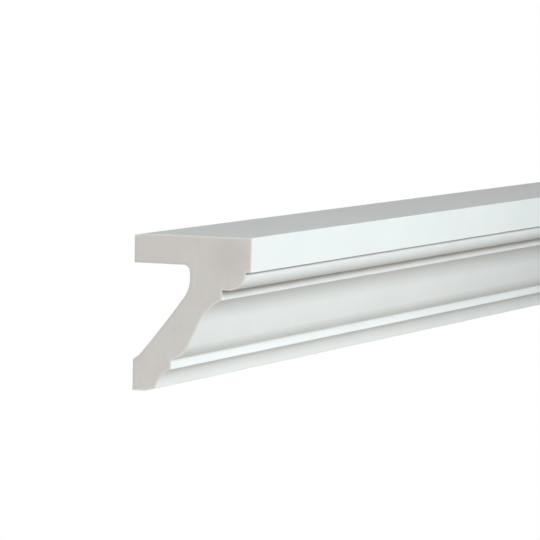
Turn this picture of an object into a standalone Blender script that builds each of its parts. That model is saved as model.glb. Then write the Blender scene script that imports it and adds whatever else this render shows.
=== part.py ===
"""A length of crown moulding in hard foam, one piece, cut square at both ends.

The moulding is one profile drawn out along X. Its wall plane is Y = 0 with the room on the -Y side,
and +Z is up to the ceiling. The origin is on the wall plane at mid length, ORIGIN_UP above the foot.
All sizes are in metres.
"""

import math

import bpy

# Overall size of the length
LENGTH = 1.000
HEIGHT = 0.100
PROJECTION = 0.080
ORIGIN_UP = 0.010

# Front of the profile from the ceiling down: each member's run towards the wall and its drop.
# A sag is how far a round stretch stands off the straight line between its two ends.
FASCIA_DROP = 0.0220
QUIRK_RUN = 0.0036
QUIRK_DROP = 0.0024
OVOLO_RUN = 0.0100
OVOLO_DROP = 0.0092
OVOLO_SAG = 0.0021
SOFFIT_RUN = 0.0059
UPPER_FILLET_DROP = 0.0065
HOLLOW_RUN = 0.0165
HOLLOW_DROP = 0.0172
HOLLOW_SAG = 0.0024
SLOPE_RUN = 0.0060
SLOPE_DROP = 0.0127
ROUND_RUN = 0.0117
ROUND_DROP = 0.00965
ROUND_SAG = 0.00145
LOWER_FILLET_DROP = 0.0060
COVE_TOP_RUN = 0.0066
COVE_TOP_DROP = 0.0046
COVE_TOP_SAG = 0.00065
COVE_FOOT_RUN = 0.0044
COVE_FOOT_DROP = 0.00815
COVE_FOOT_SAG = 0.0004
TOE_RUN = 0.0064

# Back of the profile from the foot up: the wall band, the open channel behind the web, the flange
WALL_BAND_HEIGHT = 0.0196
SHOULDER_RUN = 0.0044
SHOULDER_RISE = 0.0032
CHANNEL_DEPTH = 0.0384
CHANNEL_CORNER_RADIUS = 0.0046
CHANNEL_WALL_HEIGHT = 0.0061
BEND_RUN = 0.0042
BEND_RISE = 0.0105
BEND_SAG = 0.0007
WEB_SAG = 0.00045
FLANGE_THICKNESS = 0.0187
BACK_EASE_RUN = 0.0065
BACK_EASE_DROP = 0.0011

ARC_STEP = math.radians(4.0)

# Satin white primer over the foam
PRIMER_COLOUR = (0.86, 0.88, 0.87, 1.0)
PRIMER_ROUGHNESS = 0.45


def arc(start, end, sag):
    """Points of a circular arc after start, up to end. A positive sag bows to the left of the way."""
    chord = math.dist(start, end)
    along = ((end[0] - start[0]) / chord, (end[1] - start[1]) / chord)
    left = (-along[1], along[0])
    radius = (chord * chord / 4 + sag * sag) / (2 * abs(sag))
    half_angle = math.asin(chord / (2 * radius))
    side = math.copysign(1.0, sag)
    steps = max(2, math.ceil(2 * half_angle / ARC_STEP))
    points = []
    for step in range(1, steps + 1):
        angle = -half_angle + 2 * half_angle * step / steps
        forward = chord / 2 + radius * math.sin(angle)
        sideways = side * radius * (math.cos(angle) - math.cos(half_angle))
        points.append((
            start[0] + forward * along[0] + sideways * left[0],
            start[1] + forward * along[1] + sideways * left[1],
        ))
    return points


def quarter_sag(radius):
    """How far a quarter circle stands off its chord."""
    return radius * (1 - math.cos(math.pi / 4))


def front_of_profile():
    """The moulded face, from the top of the fascia down to the foot, as (out from wall, up) points."""
    points = [(PROJECTION, HEIGHT)]

    def step(run, drop, sag=0.0):
        start = points[-1]
        end = (start[0] - run, start[1] - drop)
        if sag:
            points.extend(arc(start, end, sag))
        else:
            points.append(end)

    step(0.0, FASCIA_DROP)
    step(QUIRK_RUN, 0.0)
    step(0.0, QUIRK_DROP)
    step(OVOLO_RUN, OVOLO_DROP, OVOLO_SAG)
    step(SOFFIT_RUN, 0.0)
    step(0.0, UPPER_FILLET_DROP)
    step(HOLLOW_RUN, HOLLOW_DROP, -HOLLOW_SAG)
    step(SLOPE_RUN, SLOPE_DROP)
    step(ROUND_RUN, ROUND_DROP, ROUND_SAG)
    step(0.0, LOWER_FILLET_DROP)
    step(COVE_TOP_RUN, COVE_TOP_DROP, -COVE_TOP_SAG)
    step(COVE_FOOT_RUN, COVE_FOOT_DROP, -COVE_FOOT_SAG)
    step(TOE_RUN, points[-1][1])
    return points


def back_of_profile():
    """The side towards the wall, from the foot up to the ceiling."""
    flange_underside = HEIGHT - FLANGE_THICKNESS
    corner_foot = (CHANNEL_DEPTH, flange_underside - CHANNEL_CORNER_RADIUS)
    bend_top = (CHANNEL_DEPTH, corner_foot[1] - CHANNEL_WALL_HEIGHT)
    web_top = (CHANNEL_DEPTH - BEND_RUN, bend_top[1] - BEND_RISE)
    shoulder = (SHOULDER_RUN, WALL_BAND_HEIGHT + SHOULDER_RISE)

    points = [(0.0, 0.0), (0.0, WALL_BAND_HEIGHT), shoulder]
    points += arc(shoulder, web_top, -WEB_SAG)
    points += arc(web_top, bend_top, -BEND_SAG)
    points.append(corner_foot)
    corner_end = (CHANNEL_DEPTH - CHANNEL_CORNER_RADIUS, flange_underside)
    points += arc(corner_foot, corner_end, -quarter_sag(CHANNEL_CORNER_RADIUS))
    points.append((0.0, flange_underside))
    points.append((0.0, HEIGHT - BACK_EASE_DROP))
    points.append((BACK_EASE_RUN, HEIGHT))
    return points


def primer_material():
    material = bpy.data.materials.new("white_primer")
    material.use_nodes = True
    shader = material.node_tree.nodes["Principled BSDF"]
    shader.inputs["Base Color"].default_value = PRIMER_COLOUR
    shader.inputs["Roughness"].default_value = PRIMER_ROUGHNESS
    shader.inputs["Metallic"].default_value = 0.0
    material.diffuse_color = PRIMER_COLOUR
    return material


def moulding_length(collection):
    """The profile as a flat closed curve, extruded half the length to each side of its own plane."""
    outline = front_of_profile() + back_of_profile()
    curve = bpy.data.curves.new("crown_moulding", "CURVE")
    curve.dimensions = "2D"
    curve.fill_mode = "BOTH"
    curve.extrude = LENGTH / 2
    spline = curve.splines.new("POLY")
    spline.points.add(len(outline) - 1)
    for point, (out, up) in zip(spline.points, outline):
        point.co = (out, up - ORIGIN_UP, 0.0, 1.0)
    spline.use_cyclic_u = True
    curve.materials.append(primer_material())

    moulding = bpy.data.objects.new("crown_moulding", curve)
    # The curve's own X goes out from the wall, its Y goes up and its Z runs along the length.
    moulding.rotation_euler = (math.pi / 2, 0.0, -math.pi / 2)
    collection.objects.link(moulding)
    return moulding


for leftover in list(bpy.data.objects):
    bpy.data.objects.remove(leftover, do_unlink=True)

moulding_collection = bpy.data.collections.new("crown_moulding_length")
bpy.context.scene.collection.children.link(moulding_collection)
moulding_length(moulding_collection)
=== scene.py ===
"""A length of crown moulding in primed hard foam, dressed for its picture. Sizes are in metres."""

import math

import bmesh
import bpy
from mathutils import Matrix, Vector
from mathutils.bvhtree import BVHTree


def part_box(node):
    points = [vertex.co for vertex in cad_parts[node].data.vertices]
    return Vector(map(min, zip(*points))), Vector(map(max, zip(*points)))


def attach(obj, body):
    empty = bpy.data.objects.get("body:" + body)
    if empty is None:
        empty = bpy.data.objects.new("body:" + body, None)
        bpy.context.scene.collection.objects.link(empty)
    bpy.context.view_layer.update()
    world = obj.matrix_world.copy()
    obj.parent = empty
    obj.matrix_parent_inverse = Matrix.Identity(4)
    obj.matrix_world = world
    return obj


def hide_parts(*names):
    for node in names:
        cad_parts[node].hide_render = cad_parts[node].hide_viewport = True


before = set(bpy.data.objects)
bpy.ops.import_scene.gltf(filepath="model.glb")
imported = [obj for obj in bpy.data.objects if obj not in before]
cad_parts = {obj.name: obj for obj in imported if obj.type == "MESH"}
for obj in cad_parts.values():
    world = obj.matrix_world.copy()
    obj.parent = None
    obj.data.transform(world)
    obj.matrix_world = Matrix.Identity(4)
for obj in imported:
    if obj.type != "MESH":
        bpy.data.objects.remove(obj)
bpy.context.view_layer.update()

# The moulding itself: one moulded length of hard polyurethane foam, sprayed with white primer on top and
# front, its back left as it left the mould. It is sawn square at both ends and glued in the corner
# between wall and ceiling.

CAD_LOW, CAD_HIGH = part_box("crown_moulding")
LENGTH = CAD_HIGH.x - CAD_LOW.x
HEIGHT = CAD_HIGH.z - CAD_LOW.z
WALL_PLANE = CAD_HIGH.y
FACE_PLANE = CAD_LOW.y

FASCIA_DROP = 0.0220
QUIRK_RUN, QUIRK_DROP = 0.0036, 0.0024
OVOLO_RUN, OVOLO_DROP, OVOLO_SAG = 0.0100, 0.0092, 0.0021
SOFFIT_RUN = 0.0059
UPPER_FILLET_DROP = 0.0065
HOLLOW_RUN, HOLLOW_DROP, HOLLOW_SAG = 0.0165, 0.0172, 0.0024
SLOPE_RUN, SLOPE_DROP = 0.0060, 0.0127
ROUND_RUN, ROUND_DROP, ROUND_SAG = 0.0117, 0.00965, 0.00145
LOWER_FILLET_DROP = 0.0060
COVE_TOP_RUN, COVE_TOP_DROP, COVE_TOP_SAG = 0.0066, 0.0046, 0.00065
COVE_FOOT_RUN, COVE_FOOT_DROP, COVE_FOOT_SAG = 0.0044, 0.00815, 0.0004
TOE_RUN = 0.0064

WALL_BAND = 0.0196
SHOULDER_RUN, SHOULDER_RISE = 0.0044, 0.0032
CHANNEL_DEPTH = 0.0384
CHANNEL_CORNER = 0.0046
CHANNEL_WALL = 0.0061
BEND_RUN, BEND_RISE, BEND_SAG = 0.0042, 0.0105, 0.0007
WEB_SAG = 0.00045
FLANGE = 0.0187
BACK_EASE_RUN, BACK_EASE_DROP = 0.0065, 0.0011

CURVE_STEP = math.radians(2.5)
FEWEST_CURVE_STEPS = 3
ARRIS_RADIUS = 0.0004
ARRIS_STEPS = 4
BLUNTEST_ARRIS = math.radians(14)
FLATTEST_CREASE = math.radians(6)
SQUARE_TO_LENGTH = 0.99
SAWN_RIM = 0.0010
LEAST_CORE_AREA = 1e-3
CORE_GRID = 0.0020
CUT_TOLERANCE = 1e-6
MM_PER_METRE = 1000.0
# How dark the painted shade lies in each inner corner, and how far from the corner it reaches
QUIRK_SHADE_DARKNESS, QUIRK_REACH = 0.93, 0.0022
SOFFIT_SHADE_DARKNESS, SOFFIT_REACH = 0.78, 0.0085


def draw_to(profile, tip, run, drop):
    """Draws the profile straight on, towards the wall by run and down by drop."""
    new_tip = bmesh.ops.extrude_vert_indiv(profile, verts=[tip])["verts"][0]
    bmesh.ops.translate(profile, verts=[new_tip], vec=(0.0, run, -drop))
    return new_tip


def curve_to(profile, tip, run, drop, sag):
    """The same along an arc. A positive sag swells towards the room, a negative one hollows out."""
    start = tip.co.copy()
    chord = Vector((0.0, run, -drop))
    out = Vector((0.0, -drop, -run)).normalized()
    radius = (chord.length_squared / 4 + sag * sag) / (2 * abs(sag))
    centre = start + chord / 2 + out * (sag - math.copysign(radius, sag))
    angle = 2 * math.asin(chord.length / (2 * radius))
    swing = bmesh.ops.spin(
        profile, geom=[tip], cent=centre, axis=(1, 0, 0), dvec=(0, 0, 0),
        angle=math.copysign(angle, sag), use_duplicate=False,
        steps=max(FEWEST_CURVE_STEPS, math.ceil(angle / CURVE_STEP)),
    )
    return next(v for v in swing["geom_last"] if isinstance(v, bmesh.types.BMVert))


def quarter_sag(radius):
    """How far a quarter circle stands off its chord."""
    return radius * (1 - math.cos(math.pi / 4))


def draw_profile(profile):
    """The cut end as one closed line. Returns its edges that get no primer: those of the back."""
    first = tip = profile.verts.new((CAD_LOW.x, FACE_PLANE, CAD_HIGH.z))
    tip = draw_to(profile, tip, 0, FASCIA_DROP)
    tip = draw_to(profile, tip, QUIRK_RUN, 0)
    tip = draw_to(profile, tip, 0, QUIRK_DROP)
    tip = curve_to(profile, tip, OVOLO_RUN, OVOLO_DROP, OVOLO_SAG)
    tip = draw_to(profile, tip, SOFFIT_RUN, 0)
    tip = draw_to(profile, tip, 0, UPPER_FILLET_DROP)
    tip = curve_to(profile, tip, HOLLOW_RUN, HOLLOW_DROP, -HOLLOW_SAG)
    tip = draw_to(profile, tip, SLOPE_RUN, SLOPE_DROP)
    tip = curve_to(profile, tip, ROUND_RUN, ROUND_DROP, ROUND_SAG)
    tip = draw_to(profile, tip, 0, LOWER_FILLET_DROP)
    tip = curve_to(profile, tip, COVE_TOP_RUN, COVE_TOP_DROP, -COVE_TOP_SAG)
    tip = curve_to(profile, tip, COVE_FOOT_RUN, COVE_FOOT_DROP, -COVE_FOOT_SAG)
    tip = draw_to(profile, tip, TOE_RUN, tip.co.z - CAD_LOW.z)
    tip = draw_to(profile, tip, WALL_PLANE - tip.co.y, 0)

    primed = set(profile.edges)
    tip = draw_to(profile, tip, 0, -WALL_BAND)
    tip = draw_to(profile, tip, -SHOULDER_RUN, -SHOULDER_RISE)
    channel_rise = HEIGHT - FLANGE - CHANNEL_CORNER - CHANNEL_WALL - WALL_BAND - SHOULDER_RISE
    web_run = CHANNEL_DEPTH - BEND_RUN - SHOULDER_RUN
    tip = curve_to(profile, tip, -web_run, -(channel_rise - BEND_RISE), -WEB_SAG)
    tip = curve_to(profile, tip, -BEND_RUN, -BEND_RISE, -BEND_SAG)
    tip = draw_to(profile, tip, 0, -CHANNEL_WALL)
    tip = curve_to(profile, tip, CHANNEL_CORNER, -CHANNEL_CORNER, -quarter_sag(CHANNEL_CORNER))
    tip = draw_to(profile, tip, CHANNEL_DEPTH - CHANNEL_CORNER, 0)
    tip = draw_to(profile, tip, 0, -(FLANGE - BACK_EASE_DROP))
    bare = set(profile.edges) - primed
    tip = draw_to(profile, tip, -BACK_EASE_RUN, -BACK_EASE_DROP)
    profile.edges.new((tip, first))
    return bare


def long_arrises(solid):
    """The long outward edges that a mould leaves slightly rounded."""
    return [
        edge for edge in solid.edges
        if abs(edge.verts[0].co.x - edge.verts[1].co.x) > LENGTH / 2
        and edge.calc_face_angle_signed(0.0) > BLUNTEST_ARRIS
    ]


def sawn_faces(solid):
    """The faces of the two square cuts."""
    return [face for face in solid.faces if abs(face.normal.x) > SQUARE_TO_LENGTH]


def score_core(solid, faces):
    """Crosses the sawn foam with a light grid, so that its tone can change with depth."""
    for axis, low, high in ((1, CAD_LOW.y, CAD_HIGH.y), (2, CAD_LOW.z, CAD_HIGH.z)):
        normal = Vector((0.0, 0.0, 0.0))
        normal[axis] = 1.0
        for line in range(1, math.floor((high - low) / CORE_GRID)):
            place = normal * (low + line * CORE_GRID)
            parts = set(faces)
            for face in faces:
                parts.update(face.edges)
                parts.update(face.verts)
            cut = bmesh.ops.bisect_plane(
                solid, geom=list(parts), plane_co=place, plane_no=normal, dist=CUT_TOLERANCE,
            )
            faces = [part for part in cut["geom"] if isinstance(part, bmesh.types.BMFace)]


def mark_depth(solid):
    """Keeps for each point of the sawn ends its depth under the skin, and if that skin is primed."""
    depth = solid.verts.layers.float.new("depth_mm")
    primed = solid.verts.layers.float.new("primed_side")
    walls = solid.copy()
    bmesh.ops.delete(walls, geom=sawn_faces(walls), context="FACES_ONLY")
    walls.faces.ensure_lookup_table()
    tree = BVHTree.FromBMesh(walls)
    for face in sawn_faces(solid):
        for point in face.verts:
            _, _, nearest, distance = tree.find_nearest(point.co)
            point[depth] = distance * MM_PER_METRE
            point[primed] = 1.0 if walls.faces[nearest].material_index == PRIMED else 0.0
    walls.free()


def paint_corner_shade(solid):
    """Marks the painted shade in the inner corners of quirk and soffit: darkest at the corner, fading out
    with distance.
    """
    corner_shade_layer = solid.verts.layers.float.new("painted_corner_shade")
    quirk = Vector((FACE_PLANE + QUIRK_RUN, CAD_HIGH.z - FASCIA_DROP))
    soffit = quirk + Vector((OVOLO_RUN + SOFFIT_RUN, -QUIRK_DROP - OVOLO_DROP))
    corners = ((quirk, QUIRK_SHADE_DARKNESS, QUIRK_REACH), (soffit, SOFFIT_SHADE_DARKNESS, SOFFIT_REACH))
    for corner, shade_darkness, reach in corners:
        for point in solid.verts:
            nearness = 1.0 - (point.co.yz - corner).length / reach
            point[corner_shade_layer] = max(point[corner_shade_layer], shade_darkness * nearness)


def settle_order(parts, place):
    """Sorts the parts by place, because bevel and bisect leave them in an order that changes each run."""
    rank = {part: number for number, part in enumerate(sorted(parts, key=place))}
    parts.sort(key=rank.get)


PRIMED, BARE_SKIN, SAWN = range(3)

solid = bmesh.new()
bare_edges = draw_profile(solid)
near_end = bmesh.ops.edgeloop_fill(solid, edges=solid.edges[:])["faces"][0]
drawn_out = bmesh.ops.extrude_face_region(solid, geom=[near_end])
far_points = [part for part in drawn_out["geom"] if isinstance(part, bmesh.types.BMVert)]
bmesh.ops.translate(solid, verts=far_points, vec=(LENGTH, 0.0, 0.0))
bmesh.ops.recalc_face_normals(solid, faces=solid.faces[:])
for edge in bare_edges:
    for face in edge.link_faces:
        face.material_index = BARE_SKIN
for face in sawn_faces(solid):
    face.material_index = SAWN
bmesh.ops.inset_region(solid, faces=sawn_faces(solid), thickness=SAWN_RIM, use_even_offset=True)
bmesh.ops.bevel(
    solid, geom=long_arrises(solid), offset=ARRIS_RADIUS, offset_type="OFFSET",
    segments=ARRIS_STEPS, profile=0.5, affect="EDGES", material=-1, clamp_overlap=True,
)
score_core(solid, [face for face in sawn_faces(solid) if face.calc_area() > LEAST_CORE_AREA])
mark_depth(solid)
paint_corner_shade(solid)
settle_order(solid.verts, lambda point: point.co[:])
settle_order(solid.edges, lambda edge: sorted(point.co[:] for point in edge.verts))
settle_order(solid.faces, lambda face: sorted(point.co[:] for point in face.verts))

moulding_mesh = bpy.data.meshes.new("moulding_run")
solid.to_mesh(moulding_mesh)
solid.free()
moulding_mesh.shade_smooth()
moulding_mesh.set_sharp_from_angle(angle=FLATTEST_CREASE)
moulding = bpy.data.objects.new("moulding_run", moulding_mesh)
bpy.context.scene.collection.objects.link(moulding)


def add_node(tree, kind, inputs=None, **settings):
    """Adds a node. Each input is given as a value, or as the socket that feeds it."""
    node = tree.nodes.new(kind)
    for setting, value in settings.items():
        setattr(node, setting, value)
    for name, value in (inputs or {}).items():
        if isinstance(value, bpy.types.NodeSocket):
            tree.links.new(value, node.inputs[name])
        else:
            node.inputs[name].default_value = value
    return node


MIX_FACTOR, MIX_FIRST, MIX_SECOND, MIX_RESULT = 0, 6, 7, 2


def blend(tree, factor, first, second):
    """Lays the second colour over the first by factor, and gives the socket of the result."""
    inputs = {MIX_FACTOR: factor, MIX_FIRST: first, MIX_SECOND: second}
    mix = add_node(tree, "ShaderNodeMix", inputs, data_type="RGBA")
    return mix.outputs[MIX_RESULT]


def ramp(tree, value, low, high, to_low=0.0, to_high=1.0):
    """Spreads value smoothly, as it goes from low to high, over the range to_low to to_high."""
    spread = add_node(tree, "ShaderNodeMapRange", {
        "Value": value, "From Min": low, "From Max": high, "To Min": to_low, "To Max": to_high,
    }, interpolation_type="SMOOTHSTEP")
    return spread.outputs["Result"]


def noise(tree, place, scale, detail=2.0, roughness=0.5):
    """Cloudy noise, with scale in patches per metre."""
    return add_node(tree, "ShaderNodeTexNoise", {
        "Vector": place, "Scale": scale, "Detail": detail, "Roughness": roughness,
    }).outputs["Fac"]


def scaled(tree, value, by, added=0.0):
    """Value times by, with added on top. Each may be a number or a socket."""
    inputs = {0: value, 1: by, 2: added}
    return add_node(tree, "ShaderNodeMath", inputs, operation="MULTIPLY_ADD").outputs[0]


def own_layer(tree, name):
    """A value that the mesh keeps at its points."""
    return add_node(tree, "ShaderNodeAttribute", attribute_name=name).outputs["Fac"]


def bump(tree, shader, height, strength, depth):
    """Raises and sinks the surface by height, depth metres in all."""
    inputs = {"Strength": strength, "Distance": depth, "Height": height}
    relief = add_node(tree, "ShaderNodeBump", inputs)
    tree.links.new(relief.outputs["Normal"], shader.inputs["Normal"])


def new_effect(name, inputs, outputs):
    """A node group with the named inputs and outputs, and the sockets to build it between."""
    group = bpy.data.node_groups.new(name, "ShaderNodeTree")
    for label, kind in inputs:
        group.interface.new_socket(label, in_out="INPUT", socket_type=kind)
    for label, kind in outputs:
        group.interface.new_socket(label, in_out="OUTPUT", socket_type=kind)
    return group, group.nodes.new("NodeGroupInput").outputs, group.nodes.new("NodeGroupOutput").inputs


def use_effect(tree, group, inputs):
    """Places the effect in a material with its own values, and gives its outputs."""
    return add_node(tree, "ShaderNodeGroup", inputs, node_tree=group).outputs


def new_finish(name):
    """A material, its tree and shader, and the place on the object that its patterns follow."""
    finish = bpy.data.materials.new(name)
    finish.use_nodes = True
    tree = finish.node_tree
    place = add_node(tree, "ShaderNodeTexCoord").outputs["Object"]
    return finish, tree, tree.nodes["Principled BSDF"], place


# Tone that drifts in soft patches, as a sprayed coat or a foamed block does.
FLOAT, COLOUR, VECTOR = "NodeSocketFloat", "NodeSocketColor", "NodeSocketVector"
PATCH_EDGES = (0.35, 0.65)
drifting_tone, given, out = new_effect(
    "drifting_tone",
    (("Place", VECTOR), ("Tone", COLOUR), ("Other Tone", COLOUR), ("Patches Per Metre", FLOAT)),
    (("Colour", COLOUR),),
)
patches = noise(drifting_tone, given["Place"], given["Patches Per Metre"], detail=3.0)
drift = ramp(drifting_tone, patches, *PATCH_EDGES)
drifted = blend(drifting_tone, drift, given["Tone"], given["Other Tone"])
drifting_tone.links.new(drifted, out["Colour"])

# Closed cells of hard foam: small round pits, with a larger bubble cut open here and there.
CELL_DISORDER = 0.9
PIT_EDGES = (0.1, 0.5)
OPEN_BUBBLES = (0.80, 0.82)
BUBBLE_EDGES = (0.10, 0.22)
PIT_DEPTH, BUBBLE_DEPTH = 0.3, 1.0
foam_cells, given, out = new_effect(
    "foam_cells",
    (("Place", VECTOR), ("Cells Per Metre", FLOAT), ("Bubbles Per Metre", FLOAT)),
    (("Pits", FLOAT), ("Bubbles", FLOAT), ("Height", FLOAT)),
)
cells = add_node(foam_cells, "ShaderNodeTexVoronoi", {
    "Vector": given["Place"], "Scale": given["Cells Per Metre"], "Randomness": CELL_DISORDER,
})
pits = ramp(foam_cells, cells.outputs["Distance"], *PIT_EDGES, 1.0, 0.0)
bubbles = add_node(foam_cells, "ShaderNodeTexVoronoi", {
    "Vector": given["Place"], "Scale": given["Bubbles Per Metre"],
})
opened = ramp(foam_cells, bubbles.outputs["Color"], *OPEN_BUBBLES)
hollow = ramp(foam_cells, bubbles.outputs["Distance"], *BUBBLE_EDGES, 1.0, 0.0)
open_bubbles = scaled(foam_cells, opened, hollow)
height = scaled(foam_cells, open_bubbles, -BUBBLE_DEPTH, scaled(foam_cells, pits, -PIT_DEPTH))
foam_cells.links.new(pits, out["Pits"])
foam_cells.links.new(open_bubbles, out["Bubbles"])
foam_cells.links.new(height, out["Height"])

# White primer: a thin satin coat with the fine peel of a spray gun. Deep in the quirk and under the ovolo
# its colour is darkened towards a brown tone, which is painted shade in those inner corners.
PRIMER_TONE = (0.815, 0.862, 0.855, 1.0)
PRIMER_SHADE = (0.795, 0.845, 0.840, 1.0)
PRIMER_PATCHES = 14.0
# Painted shade: the brown tone laid over the primer in the inner corners of quirk and soffit.
CORNER_SHADE_TONE = (0.388, 0.338, 0.272, 1.0)
CORNER_SHADE_FROM, DARKEST_CORNER_SHADE = 0.15, 0.85
SATIN_PATCHES = 60.0
SMOOTHEST_SATIN, ROUGHEST_SATIN = 0.40, 0.52
PRIMER_SHINE = 0.42
PEEL_GRAIN, PEEL_STRENGTH, PEEL_DEPTH = 900.0, 0.25, 0.00002
primer, tree, shader, place = new_finish("white_primer")
coat = use_effect(tree, drifting_tone, {
    "Place": place, "Tone": PRIMER_TONE, "Other Tone": PRIMER_SHADE, "Patches Per Metre": PRIMER_PATCHES,
})["Colour"]
# Painted shade: darkens the primer's colour in the inner corners of quirk and soffit.
corner_shading = ramp(tree, own_layer(tree, "painted_corner_shade"), CORNER_SHADE_FROM, 1.0, 0.0, DARKEST_CORNER_SHADE)
tree.links.new(blend(tree, corner_shading, coat, CORNER_SHADE_TONE), shader.inputs["Base Color"])
satin = noise(tree, place, SATIN_PATCHES, detail=4.0, roughness=0.6)
tree.links.new(ramp(tree, satin, 0.3, 0.7, SMOOTHEST_SATIN, ROUGHEST_SATIN), shader.inputs["Roughness"])
shader.inputs["Specular IOR Level"].default_value = PRIMER_SHINE
peel = noise(tree, place, PEEL_GRAIN, roughness=0.45)
bump(tree, shader, peel, PEEL_STRENGTH, PEEL_DEPTH)

# Skin of the foam at the back, as it left the mould: matt and creamy, with pinholes and stray spray.
SKIN_TONE = (0.70, 0.66, 0.59, 1.0)
SKIN_SHADE = (0.64, 0.60, 0.53, 1.0)
SKIN_PATCHES = 30.0
SPRAY_TONE = (0.78, 0.80, 0.78, 1.0)
SPRAY_CLOUDS = 45.0
THINNEST_SPRAY, THICKEST_SPRAY = 0.15, 0.75
PINHOLE_TONE = (0.42, 0.39, 0.34, 1.0)
SKIN_CELLS, SKIN_PINHOLES = 2600.0, 260.0
SKIN_ROUGHNESS = 0.62
SKIN_STRENGTH, SKIN_DEPTH = 0.35, 0.0003
skin, tree, shader, place = new_finish("mould_skin")
creamy = use_effect(tree, drifting_tone, {
    "Place": place, "Tone": SKIN_TONE, "Other Tone": SKIN_SHADE, "Patches Per Metre": SKIN_PATCHES,
})["Colour"]
cells = use_effect(tree, foam_cells, {
    "Place": place, "Cells Per Metre": SKIN_CELLS, "Bubbles Per Metre": SKIN_PINHOLES,
})
clouds = noise(tree, place, SPRAY_CLOUDS, detail=6.0, roughness=0.7)
sprayed = blend(tree, ramp(tree, clouds, 0.42, 0.62, THINNEST_SPRAY, THICKEST_SPRAY), creamy, SPRAY_TONE)
tree.links.new(blend(tree, cells["Bubbles"], sprayed, PINHOLE_TONE), shader.inputs["Base Color"])
shader.inputs["Roughness"].default_value = SKIN_ROUGHNESS
bump(tree, shader, cells["Height"], SKIN_STRENGTH, SKIN_DEPTH)

# Sawn foam of the two ends: open fine cells with the saw's faint upright marks. It is paler under the
# primed skin, greyer under the bare one, and a little browner in the thick block behind the fascia, which
# cured hotter. Round it runs the cut edge of the primer.
CORE_TONE = (0.760, 0.740, 0.712, 1.0)
CORE_SHADE = (0.745, 0.712, 0.690, 1.0)
CORE_PATCHES = 55.0
SAWN_CELLS, SAWN_BUBBLES = 3200.0, 800.0
CURED_TONE = (0.710, 0.672, 0.635, 1.0)
CURED_PLACE, IN_SECTION = (0.0, -0.064, 0.077), (0.0, 1.0, 1.0)
CURED_EDGES, CURED_CLOUDS, CURED_SPREAD = (0.012, 0.024), 160.0, 0.014
DENSE_TONE = (0.785, 0.765, 0.732, 1.0)
BARE_RIM_TONE = (0.675, 0.675, 0.645, 1.0)
RIM_EDGES_MM, RIM_STRENGTH = (0.3, 2.4), 0.9
PIT_TONE, PIT_STRENGTH = (0.52, 0.49, 0.45, 1.0), 0.20
BUBBLE_TONE, BUBBLE_STRENGTH = (0.46, 0.43, 0.39, 1.0), 0.45
SAW_STRETCH, SAW_GRAIN = (1.0, 1.0, 0.04), 650.0
SAW_STRENGTH, SAW_DEPTH = 0.10, 0.6
FILM_TONE = (0.835, 0.815, 0.775, 1.0)
FILM_EDGES_MM, FILM_GRAIN, FILM_RAGGED_MM = (1.05, 1.25), 1500.0, 0.5
SAWN_ROUGHNESS, SAWN_SHINE = 0.85, 0.2
SAWN_STRENGTH, SAWN_DEPTH = 0.4, 0.0002
sawn, tree, shader, place = new_finish("sawn_foam")
depth = own_layer(tree, "depth_mm")
primed_side = own_layer(tree, "primed_side")
core = use_effect(tree, drifting_tone, {
    "Place": place, "Tone": CORE_TONE, "Other Tone": CORE_SHADE, "Patches Per Metre": CORE_PATCHES,
})["Colour"]
cells = use_effect(tree, foam_cells, {
    "Place": place, "Cells Per Metre": SAWN_CELLS, "Bubbles Per Metre": SAWN_BUBBLES,
})
away = add_node(tree, "ShaderNodeVectorMath", {0: place, 1: CURED_PLACE}, operation="SUBTRACT").outputs[0]
across = add_node(tree, "ShaderNodeVectorMath", {0: away, 1: IN_SECTION}, operation="MULTIPLY").outputs[0]
from_block = add_node(tree, "ShaderNodeVectorMath", {0: across}, operation="LENGTH").outputs["Value"]
uneven = scaled(tree, noise(tree, place, CURED_CLOUDS, 3.0, 0.6), CURED_SPREAD, from_block)
cured = blend(tree, ramp(tree, uneven, *CURED_EDGES, 1.0, 0.0), core, CURED_TONE)
rim_tone = blend(tree, primed_side, BARE_RIM_TONE, DENSE_TONE)
rimmed = blend(tree, ramp(tree, depth, *RIM_EDGES_MM, RIM_STRENGTH, 0.0), cured, rim_tone)
pitted = blend(tree, ramp(tree, cells["Pits"], 0.0, 1.0, 0.0, PIT_STRENGTH), rimmed, PIT_TONE)
holed = blend(tree, ramp(tree, cells["Bubbles"], 0.0, 1.0, 0.0, BUBBLE_STRENGTH), pitted, BUBBLE_TONE)
upright = add_node(tree, "ShaderNodeMapping", {"Vector": place, "Scale": SAW_STRETCH}).outputs["Vector"]
saw_marks = noise(tree, upright, SAW_GRAIN, 3.0, 0.6)
marked = blend(tree, ramp(tree, saw_marks, 0.45, 0.75, 0.0, SAW_STRENGTH), holed, PIT_TONE)
ragged = scaled(tree, noise(tree, place, FILM_GRAIN, 3.0), FILM_RAGGED_MM, depth)
film = scaled(tree, ramp(tree, ragged, *FILM_EDGES_MM, 1.0, 0.0), primed_side)
tree.links.new(blend(tree, film, marked, FILM_TONE), shader.inputs["Base Color"])
shader.inputs["Roughness"].default_value = SAWN_ROUGHNESS
shader.inputs["Specular IOR Level"].default_value = SAWN_SHINE
bump(tree, shader, scaled(tree, saw_marks, -SAW_DEPTH, cells["Height"]), SAWN_STRENGTH, SAWN_DEPTH)

for finish in (primer, skin, sawn):
    moulding_mesh.materials.append(finish)
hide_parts("crown_moulding")
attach(moulding, "root")

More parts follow.
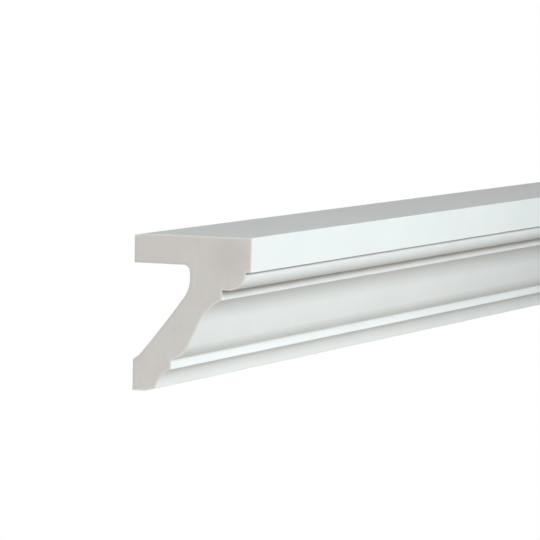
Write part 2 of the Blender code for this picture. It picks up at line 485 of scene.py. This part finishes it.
# Studio floor: a plain pale sheet well below the moulding. It is seen paler than it lights, and far off
# it goes over into the white of the room.
FLOOR_BELOW = 0.50
FLOOR_HALF_SIDE = 60.0
FADE_START, FADE_END = 0.6, 2.0
NEAR_GLOW = 0.72
SHEET_TONE, SHEET_ROUGHNESS = (0.34, 0.315, 0.29, 1.0), 0.9
WHITE = (1.0, 1.0, 1.0, 1.0)
floor_shape = bmesh.new()
bmesh.ops.create_grid(floor_shape, x_segments=1, y_segments=1, size=FLOOR_HALF_SIDE)
bmesh.ops.translate(floor_shape, verts=floor_shape.verts[:], vec=(0.0, 0.0, CAD_LOW.z - FLOOR_BELOW))
floor_mesh = bpy.data.meshes.new("studio_floor")
floor_shape.to_mesh(floor_mesh)
floor_shape.free()
sheet, tree, shader, place = new_finish("floor_sheet")
shader.inputs["Base Color"].default_value = SHEET_TONE
shader.inputs["Roughness"].default_value = SHEET_ROUGHNESS
glow = add_node(tree, "ShaderNodeEmission", {"Color": WHITE, "Strength": 1.0})
distance = add_node(tree, "ShaderNodeVectorMath", {0: place}, operation="LENGTH").outputs["Value"]
seen = add_node(tree, "ShaderNodeLightPath").outputs["Is Camera Ray"]
glowing = scaled(tree, ramp(tree, distance, FADE_START, FADE_END, NEAR_GLOW, 1.0), seen)
fade = add_node(tree, "ShaderNodeMixShader", {0: glowing, 1: shader.outputs[0], 2: glow.outputs[0]})
tree.links.new(fade.outputs[0], tree.nodes["Material Output"].inputs["Surface"])
floor_mesh.materials.append(sheet)
floor = bpy.data.objects.new("studio_floor", floor_mesh)
bpy.context.scene.collection.objects.link(floor)

# Room light: seen as plain white, it lights the moulding softly from a band of windows all round.
WINDOW_LIGHT, WALL_LIGHT = 1.345, 0.057
WINDOW_TINT = (0.985, 0.932, 0.872, 1.0)
SILL, LINTEL = (0.13, 0.27), (0.38, 0.52)
PLAIN_MIX_FIRST, PLAIN_MIX_SECOND = 2, 3
room = bpy.data.worlds.new("white_room")
bpy.context.scene.world = room
room.use_nodes = True
tree = room.node_tree
direction = add_node(tree, "ShaderNodeTexCoord").outputs["Generated"]
upward = add_node(tree, "ShaderNodeSeparateXYZ", {0: direction}).outputs["Z"]
over_sill = ramp(tree, upward, *SILL, WALL_LIGHT, WINDOW_LIGHT)
light = ramp(tree, upward, *LINTEL, over_sill, WALL_LIGHT)
seen = add_node(tree, "ShaderNodeLightPath").outputs["Is Camera Ray"]
strength = add_node(tree, "ShaderNodeMix", {
    MIX_FACTOR: seen, PLAIN_MIX_FIRST: light, PLAIN_MIX_SECOND: 1.0,
}).outputs[0]
tree.links.new(strength, tree.nodes["Background"].inputs["Strength"])
tint = blend(tree, seen, WINDOW_TINT, WHITE)
tree.links.new(tint, tree.nodes["Background"].inputs["Color"])

# Key light: one soft box before the moulded face, well above it and towards the near end.


def soft_light(name, size, power, place, aim, tint=(1.0, 1.0, 1.0)):
    """Hangs a soft light of size (width, height) at place, turned towards aim."""
    lamp_data = bpy.data.lights.new(name, "AREA")
    lamp_data.shape = "RECTANGLE"
    lamp_data.size, lamp_data.size_y = size
    lamp_data.energy = power
    lamp_data.color = tint
    lamp = bpy.data.objects.new(name, lamp_data)
    lamp.location = place
    lamp.rotation_euler = (Vector(aim) - lamp.location).to_track_quat("-Z", "Y").to_euler()
    bpy.context.scene.collection.objects.link(lamp)
    return lamp


soft_light(
    "soft_box", size=(1.5, 0.8), power=35.5, tint=(0.885, 0.945, 1.0),
    place=(-0.75, -1.79, 0.97), aim=(-0.2, 0.0, 0.04),
)

# Fill light: a weaker soft box in line with the length, before its near end.
soft_light(
    "end_fill", size=(1.0, 0.8), power=10.4, tint=(0.86, 0.91, 1.0),
    place=(-2.65, 0.05, 0.25), aim=(-0.25, -0.03, 0.04),
)

# Low card: a small soft light below the near half, which lifts the undersides.
soft_light(
    "low_card", size=(0.5, 0.4), power=0.99, tint=(1.0, 0.95, 0.90),
    place=(-0.25, -0.55, -0.35), aim=(-0.22, -0.03, 0.04),
)

# Foot strip: a faint narrow light close under the foot, for the glow that a white table throws up into
# the cove. The camera does not see it.
foot_strip = soft_light(
    "foot_strip", size=(0.95, 0.05), power=0.045, tint=(1.0, 0.95, 0.90),
    place=(-0.05, -0.06, -0.075), aim=(-0.05, -0.03, 0.0),
)
foot_strip.visible_camera = False

# End card: a small soft light low before the near end, which lifts the lower part of its sawn face.
soft_light(
    "end_card", size=(0.5, 0.4), power=1.25, tint=(1.0, 1.0, 0.85),
    place=(-1.25, -0.02, -0.33), aim=(-0.5, -0.03, 0.04),
)

# Back light: a low soft box behind the moulding, for its wall side and its far end. It hangs below the
# level of the top and beyond the near end, so neither gets any of it.
soft_light("back_light", size=(1.4, 0.3), power=17.0, place=(1.3, 1.3, -0.08), aim=(0.2, -0.03, 0.04))

# Camera: a long lens far before the near end and a little above it, turned off the length and tipped
# slightly to one side.
CAMERA_PLACE = Vector((-2.8292, -1.0401, 0.2564))
CAMERA_HEADING = math.radians(22.132)
CAMERA_DIP = math.radians(4.226)
CAMERA_TIP = math.radians(1.082)
FILM_WIDTH_MM, LENS_MM = 36.0, 268.9
NEAREST_SEEN, FARTHEST_SEEN = 0.1, 200.0
camera_data = bpy.data.cameras.new("camera")
camera_data.sensor_width = FILM_WIDTH_MM
camera_data.lens = LENS_MM
camera_data.clip_start, camera_data.clip_end = NEAREST_SEEN, FARTHEST_SEEN
camera = bpy.data.objects.new("camera", camera_data)
camera.matrix_world = (
    Matrix.Translation(CAMERA_PLACE)
    @ Matrix.Rotation(CAMERA_HEADING - math.pi / 2, 4, "Z")
    @ Matrix.Rotation(math.pi / 2 - CAMERA_DIP, 4, "X")
    @ Matrix.Rotation(CAMERA_TIP, 4, "Z")
)
bpy.context.scene.collection.objects.link(camera)
bpy.context.scene.camera = camera
bpy.context.scene.view_settings.view_transform = "Standard"
